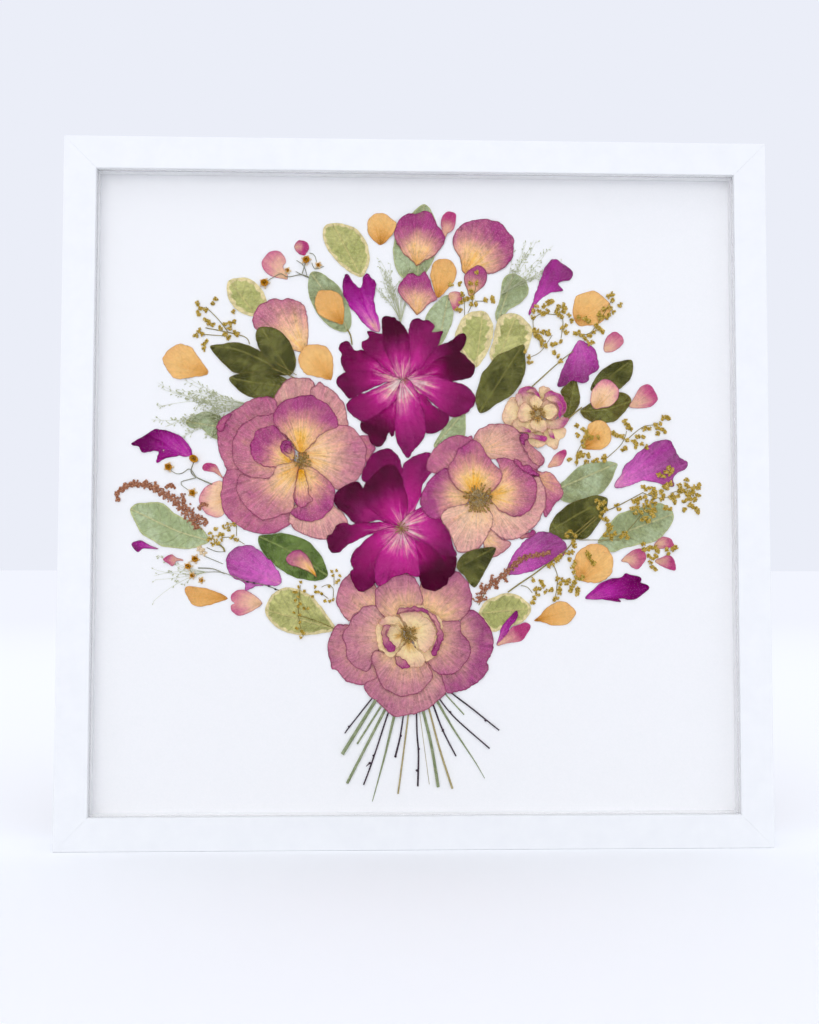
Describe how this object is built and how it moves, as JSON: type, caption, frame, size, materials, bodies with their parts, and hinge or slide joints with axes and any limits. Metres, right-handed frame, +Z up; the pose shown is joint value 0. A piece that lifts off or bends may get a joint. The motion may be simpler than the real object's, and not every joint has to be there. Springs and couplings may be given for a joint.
{
  "type": "pressed flower frame",
  "caption": "Square white box frame, glazed, with a bouquet of pressed roses, peonies, leaves, seed sprigs and cut stems on a white board; stands on its flat base or hangs.",
  "frame": {"origin": "middle of the frame's base face, under the middle of its depth", "axes": "+Z up the frame, +X to the right as the flowers are looked at, +Y towards the back, so the glass faces -Y"},
  "size_m": [0.43, 0.0323, 0.43],
  "materials": {
    "white_paint": "satin white paint",
    "glass": "clear polished",
    "spacer": "matt white",
    "art_board": "matt white, fine tooth",
    "backing": "brown hardboard",
    "steel": "zinc plated",
    "rubber": "soft grey",
    "rose_petal": "dried pink rose petal",
    "magenta_petal": "dried magenta peony petal",
    "cream_petal": "dried cream rose petal",
    "gold_petal": "dried gold rose petal",
    "sage_leaf": "dried sage green leaf",
    "pale_leaf": "dried green leaf with a cream margin",
    "dark_leaf": "dried dark olive leaf"
  },
  "bodies": {
    "root": {"rail_bottom": "white_paint", "rail_left": "white_paint", "rail_top": "white_paint", "rail_right": "white_paint", "glass": "glass", "spacer_bottom": "spacer", "spacer_top": "spacer", "spacer_left": "spacer", "spacer_right": "spacer", "art_board": "art_board", "backing_board": "backing", "sawtooth_hanger": "steel", "bumper_left": "rubber", "bumper_right": "rubber", "leaf_northwest_pale": "pale_leaf", "leaf_north_pale": "pale_leaf", "leaf_north_sage": "sage_leaf", "leaf_top_sage": "sage_leaf", "leaf_middle_sage": "sage_leaf", "leaf_northeast_pale": "pale_leaf", "leaf_northeast_sage": "sage_leaf", "leaf_east_pale": "pale_leaf", "leaf_west_dark_upper": "dark_leaf", "leaf_west_dark_lower": "dark_leaf", "leaf_west_dark_upright": "dark_leaf", "leaf_west_folded": "sage_leaf", "leaf_west_large": "sage_leaf", "leaf_southwest_dark": "dark_leaf", "leaf_southwest_pale": "pale_leaf", "leaf_centre": "sage_leaf", "leaf_east_dark": "dark_leaf", "leaf_east_olive": "dark_leaf", "leaf_east_long": "dark_leaf", "leaf_east_green": "dark_leaf", "leaf_east_low_sage": "sage_leaf", "leaf_east_low_dark": "dark_leaf", "leaf_southeast_sage": "sage_leaf", "leaf_south_dark": "dark_leaf", "leaf_southeast_pale": "pale_leaf", "petal_north_large": "rose_petal", "petal_northeast_large": "rose_petal", "petal_northwest_rose": "rose_petal", "petal_north_forked": "magenta_petal", "petal_northeast_trumpet": "magenta_petal", "petal_east_folded": "magenta_petal", "petal_west_gold": "gold_petal", "petal_west_gold_round": "gold_petal", "petal_north_pink": "rose_petal", "petal_west_magenta": "magenta_petal", "petal_east_magenta": "magenta_petal", "petal_southwest_magenta": "magenta_petal", "petal_southeast_magenta": "magenta_petal", "petal_southeast_gold": "gold_petal", "rose_left": "rose_petal", "rose_right": "rose_petal", "rose_low": "rose_petal", "rose_low_heart": "cream_petal", "cream_rose": "cream_petal", "peony_upper": "magenta_petal", "peony_lower": "magenta_petal"}
  },
  "joints": []
}
